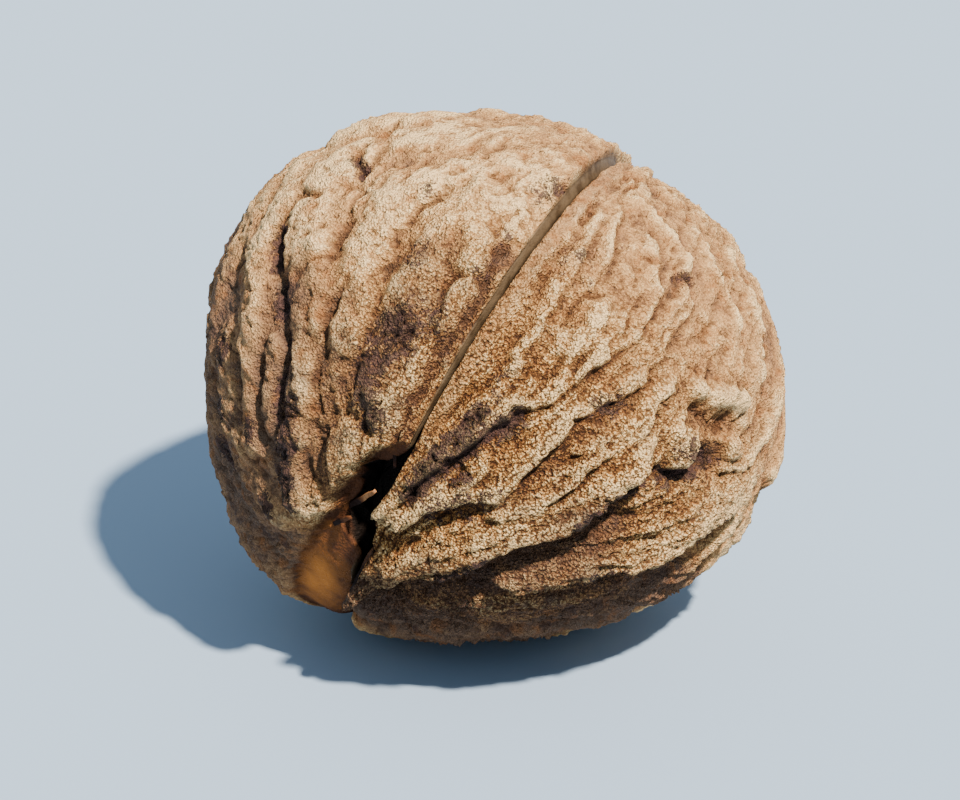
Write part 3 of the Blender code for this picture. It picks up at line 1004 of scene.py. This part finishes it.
def sand_cells(finish, place):
    """How far a place is from the middle of its grain of sand: 0 in the middle, more outside."""
    push = {"Vector": place, "Scale": 1 / CELL_DRIFT, "Detail": 2.0}
    drift = finish.node("ShaderNodeTexNoise", {}, push, "Color")
    step = finish.node("ShaderNodeVectorMath", {"operation": "SCALE"}, {0: drift, "Scale": CELL_DRIFT})
    ragged = finish.node("ShaderNodeVectorMath", {"operation": "ADD"}, {0: place, 1: step})
    cells = {"Vector": ragged, "Scale": 1 / CELL_SIZE}
    return finish.node("ShaderNodeTexVoronoi", {}, cells, "Distance")


def shell_finish(name):
    """The finish of both halves, from the values on the mesh and noise of many sizes."""
    finish = Finish(name)
    place = finish.place()
    crest = finish.attribute("crest")
    stain = finish.attribute("stain")
    band = finish.attribute("band")
    strip = finish.attribute("strip")
    scar = finish.attribute("scar")
    glow = finish.attribute("glow")
    inner = finish.attribute("inner")
    crease = finish.attribute("crease")
    dusk = finish.attribute("dusk")
    sandy = finish.attribute("sandy")
    clouds = finish.noise(place, CLOUD_SIZE, 3, 0.55)
    blotches = finish.noise(place, BLOTCH_SIZE, 4, 0.65)
    hues = finish.noise(place, HUE_SIZE, 3, 0.6)
    sand = finish.noise(place, SAND_SIZE, 3, 0.7)
    specks = finish.noise(place, SPECK_SIZE, 2, 0.6)
    cells = sand_cells(finish, place)
    pits = finish.between(cells + (specks - 0.5) * 1.1, 0.53, 0.66)
    grime = finish.between(finish.noise(place, GRIME_SIZE, 4, 0.7), 0.50, 0.66)
    # The crest value brings painted light and shade into the tone, and the dusk value darkens it with
    # painted shade and some dirt.
    slow = crest + (clouds - 0.5) * 0.9 + (blotches - 0.5) * 1.2 - dusk * 0.45
    grains = (sand - 0.5) * 1.2 + (specks - 0.5) * 1.4 + (0.42 - cells) * 1.1 + 0.21
    tone = slow + sandy * grains
    colour = finish.node("ShaderNodeValToRGB", {"stops": TONES}, {"Fac": tone})
    smooth = finish.node("ShaderNodeMath", {"operation": "MAXIMUM"}, {0: strip, 1: scar})
    bare = 1 - smooth
    colour = finish.mix(band * 0.60, colour, MARGIN_TAN)
    colour = finish.mix((1 - sandy) * 0.30, colour, WORN_GREY)
    # Brown painted shade, with some dirt, where the dusk value is high.
    colour = finish.mix(finish.between(dusk, 0.0, 1.2) * 0.75, colour, SHADE_AND_DIRT_BROWN)
    colour = finish.mix(finish.between(hues, 0.50, 0.70) * (0.70 - 0.45 * sandy), colour, RUST)
    # Grime blotches, strongest where the painted shade and dirt lie.
    colour = finish.mix(grime * finish.between(dusk, -0.25, 0.70) * 0.80, colour, GRIME_AND_SHADE)
    # Painted shade: dark brown in the creases and along the foot of each cliff.
    colour = finish.mix(crease * 0.75, colour, CREASE_SHADE_BROWN)
    colour = finish.mix(pits * sandy * 0.80, colour, DEEP_BROWN)
    broken = (blotches - 0.5) * 1.8 + (sand - 0.5) * 1.6 + (specks - 0.5) * 1.4
    patchy = finish.between(stain + broken, 0.38, 0.70)
    dirt = finish.mix(finish.between(sand + (hues - 0.5) * 0.6, 0.40, 0.62), STAIN_DARK, STAIN_PURPLE)
    colour = finish.mix(patchy * 0.9 * bare, colour, dirt)
    # The scar: its orange lit as painted light in the middle, brown towards its borders as painted
    # shade.
    scar_light_and_shade = finish.mix(glow + (blotches - 0.5) * 0.7 + (hues - 0.5) * 0.8, SCAR_SHADE_BROWN, SCAR_LIT_ORANGE)
    colour = finish.mix(finish.between(scar, 0.15, 0.75), colour, scar_light_and_shade)
    taupe = finish.mix(finish.between(blotches, 0.35, 0.65), STRIP_DARK, STRIP_TAUPE)
    colour = finish.mix(strip, colour, taupe)
    # Painted shade: the inside of the shell near black, as the cavity is dark.
    colour = finish.mix(finish.between(inner, 0.02, 0.25), colour, INNER_SHADE)
    finish.feed(finish.shader.inputs["Base Color"], colour)
    rough = 0.80 - 0.20 * strip + (sand - 0.5) * 0.2
    finish.feed(finish.shader.inputs["Roughness"], rough)
    finish.shader.inputs["Specular IOR Level"].default_value = 0.12
    height = sand * 0.5 + specks * 0.5 - cells * 0.35
    strength = bare * (sandy * 0.7 + 0.3) + scar * 0.15 + 0.05
    bump = {"Height": height * strength, "Strength": 1.0, "Distance": BUMP_HEIGHT}
    finish.feed(finish.shader.inputs["Normal"], finish.node("ShaderNodeBump", {}, bump))
    return finish.material


walnut_finish = shell_finish("walnut_shell")
for shell in (left_shell, right_shell):
    shell.data.materials.clear()
    shell.data.materials.append(walnut_finish)
print("finish nodes:", len(walnut_finish.node_tree.nodes))

# %% [markdown]
# ## Splinters
#
# The shell tore rather than cut, so a few slivers still stand in the hole, and a thin flake lies
# along the edge of the right half. Each is a bar, cut into short lengths, thinned a little towards
# its tip, made ragged, and set with its root in the wall it broke from. A splinter has the places
# of its root and tip near the open seam, its width and thickness in millimetres, and how pale its
# tip is. Each is painted dark towards its root, as painted shade in the hole.

# %% Make the splinters
SPLINTER_CUTS = 7
SPLINTER_THINNING = 0.45
SPLINTER_ROUGH = 0.09
SPLINTERS = (
    ("hole_splinter_upper", (22, -2.7, 2.6), (36.0, -0.95, 1.25), 0.32, 0.24, 1.0),
    ("hole_splinter_lower", (17, -2.9, 2.0), (25, -1.75, 1.5), 0.30, 0.22, 0.35),
    ("hole_blade", (49.5, -1.3, 1.2), (43.0, -0.60, 1.5), 0.24, 0.18, 0.0),
    ("seam_flake", (3, 0.0, 1.3), (23, 0.42, 1.1), 0.30, 0.60, 0.40),
)


def on_shell(down, across, depth):
    """A place near the open seam in mm: degrees down, mm across, and mm below the bare form."""
    share = across / REACH_FRONT
    rest = math.sqrt(1 - share * share)
    down = math.radians(down)
    out = np.array([(share, -math.cos(down) * rest, math.sin(down) * rest)])
    return (out * (smooth_form(out) - depth)[:, None])[0]


def splinter(name, root, tip, width, thickness, bare):
    """One ragged bar from its root to its tip, with a value that is 0 at the root, for painted shade,
    and rises towards a pale tip.
    """
    deselect()
    bpy.ops.mesh.primitive_cube_add(size=1)
    piece = bpy.context.object
    piece.name = name
    piece.data.name = name
    bpy.ops.object.mode_set(mode="EDIT")
    bpy.ops.mesh.subdivide(number_cuts=SPLINTER_CUTS)
    bpy.ops.object.mode_set(mode="OBJECT")
    flat = np.empty(len(piece.data.vertices) * 3)
    piece.data.vertices.foreach_get("co", flat)
    bar = flat.reshape(-1, 3)
    along = bar[:, 2] + 0.5
    root, tip = on_shell(*root), on_shell(*tip)
    run = tip - root
    deep = root / np.linalg.norm(root)
    side = np.cross(run, deep)
    side = side / np.linalg.norm(side)
    thin = 1 - SPLINTER_THINNING * along ** 4
    middle = root + along[:, None] * run
    wide = (bar[:, 0] * width * thin)[:, None] * side
    thick = (bar[:, 1] * thickness * thin)[:, None] * deep
    placed = middle + wide + thick
    for axis in range(3):
        shift = 11.3 * (axis + 1)
        placed[:, axis] += SPLINTER_ROUGH * lumps(middle + placed * 0.3, 0.5, 2, shift)
    piece.data.vertices.foreach_set("co", to_world(placed).ravel())
    # The bare value: 0 at the root, as painted shade in the hole, rising to a pale tip.
    layer = piece.data.attributes.new("bare", "FLOAT", "POINT")
    layer.data.foreach_set("value", (bare * soften((along - 0.35) / 0.35)).astype(np.float32))
    bpy.ops.object.mode_set(mode="EDIT")
    bpy.ops.mesh.select_all(action="SELECT")
    bpy.ops.mesh.normals_make_consistent(inside=False)
    bpy.ops.object.mode_set(mode="OBJECT")
    bpy.ops.object.shade_smooth()
    return piece


# The dark end is painted shade at the splinters' roots, down in the hole.
TORN_ROOT_SHADE = (0.012, 0.004, 0.002)
TORN_BROWN = (0.110, 0.038, 0.013)
TORN_PALE = (0.360, 0.160, 0.060)


def splinter_finish():
    """The finish of torn shell: dark brown with fibres, pale towards the tip, and near black at the
    root as painted shade.
    """
    finish = Finish("torn_shell")
    place = finish.place()
    fibres = finish.noise(place, 0.00025, 3, 0.6)
    patches = finish.noise(place, 0.0009, 2, 0.5)
    # Low at the root, so the root is painted dark as shade in the hole.
    tone = finish.attribute("bare") * 0.6 + fibres * 0.4 + patches * 0.4 - 0.30
    stops = ((0.20, TORN_ROOT_SHADE), (0.50, TORN_BROWN), (0.80, TORN_PALE))
    colour = finish.node("ShaderNodeValToRGB", {"stops": stops}, {"Fac": tone})
    finish.feed(finish.shader.inputs["Base Color"], colour)
    finish.shader.inputs["Roughness"].default_value = 0.7
    finish.shader.inputs["Specular IOR Level"].default_value = 0.08
    bump = {"Height": fibres, "Strength": 1.0, "Distance": 0.0001}
    finish.feed(finish.shader.inputs["Normal"], finish.node("ShaderNodeBump", {}, bump))
    return finish.material


torn_finish = splinter_finish()
splinters = [splinter(*facts) for facts in SPLINTERS]
for piece in splinters:
    piece.data.materials.append(torn_finish)
print("splinters:", [piece.name for piece in splinters])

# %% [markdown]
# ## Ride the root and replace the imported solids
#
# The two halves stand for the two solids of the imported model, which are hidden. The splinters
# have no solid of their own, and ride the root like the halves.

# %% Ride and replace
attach(left_shell, "root")
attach(right_shell, "root")
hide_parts("left_shell_half")
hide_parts("right_shell_half")
for piece in splinters:
    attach(piece, "root")

# %% [markdown]
# ## Floor, light and camera
#
# The nut lies on a plain pale floor. One soft-edged sun gives the low relief its shadows, and a
# pale sky fills them. The camera looks down at 25 degrees through a long lens, so the nut is
# hardly distorted.

# %% Floor
FLOOR_SIZE = 3.0
FLOOR_COLOUR = (0.24, 0.31, 0.39)


def floor_finish():
    """A plain pale finish that is hardly uneven."""
    finish = Finish("pale_floor")
    shade = finish.noise(finish.place(), 0.05, 2)
    darker = tuple(0.94 * part for part in FLOOR_COLOUR)
    finish.feed(finish.shader.inputs["Base Color"], finish.mix(shade, FLOOR_COLOUR, darker))
    finish.shader.inputs["Roughness"].default_value = 0.8
    return finish.material


deselect()
bpy.ops.mesh.primitive_plane_add(size=FLOOR_SIZE)
floor = bpy.context.object
floor.name = "floor"
floor.data.materials.append(floor_finish())

# %% Light
SUN_FROM = Vector((0.341, -0.472, 0.813))
SUN_ANGLE = math.radians(3)
SUN_POWER = 15.0
SUN_COLOUR = (1.0, 0.95, 0.88)
SKY_COLOUR = (0.58, 0.77, 1.0, 1)
SKY_POWER = 0.95

bpy.ops.object.light_add(type="SUN", location=SUN_FROM)
sun = bpy.context.object
sun.rotation_euler = SUN_FROM.to_track_quat("Z", "Y").to_euler()
sun.data.energy = SUN_POWER
sun.data.angle = SUN_ANGLE
sun.data.color = SUN_COLOUR
sky = bpy.data.worlds.new("sky")
sky.use_nodes = True
sky.node_tree.nodes["Background"].inputs["Color"].default_value = SKY_COLOUR
sky.node_tree.nodes["Background"].inputs["Strength"].default_value = SKY_POWER
bpy.context.scene.world = sky

# %% Camera
ELEVATION = math.radians(25)
DISTANCE = 0.256
LENS = 163.2
ASIDE, BELOW = 0.00117, 0.00094
back = Vector((0, -math.cos(ELEVATION), math.sin(ELEVATION)))
up = Vector((0, math.sin(ELEVATION), math.cos(ELEVATION)))
viewpoint = NUT_MIDDLE - ASIDE * Vector((1, 0, 0)) - BELOW * up + DISTANCE * back
bpy.ops.object.camera_add(location=viewpoint)
camera = bpy.context.object
camera.rotation_euler = (math.pi / 2 - ELEVATION, 0, 0)
camera.data.lens = LENS
camera.data.sensor_width = 36
camera.data.clip_start = 0.01
bpy.context.scene.camera = camera
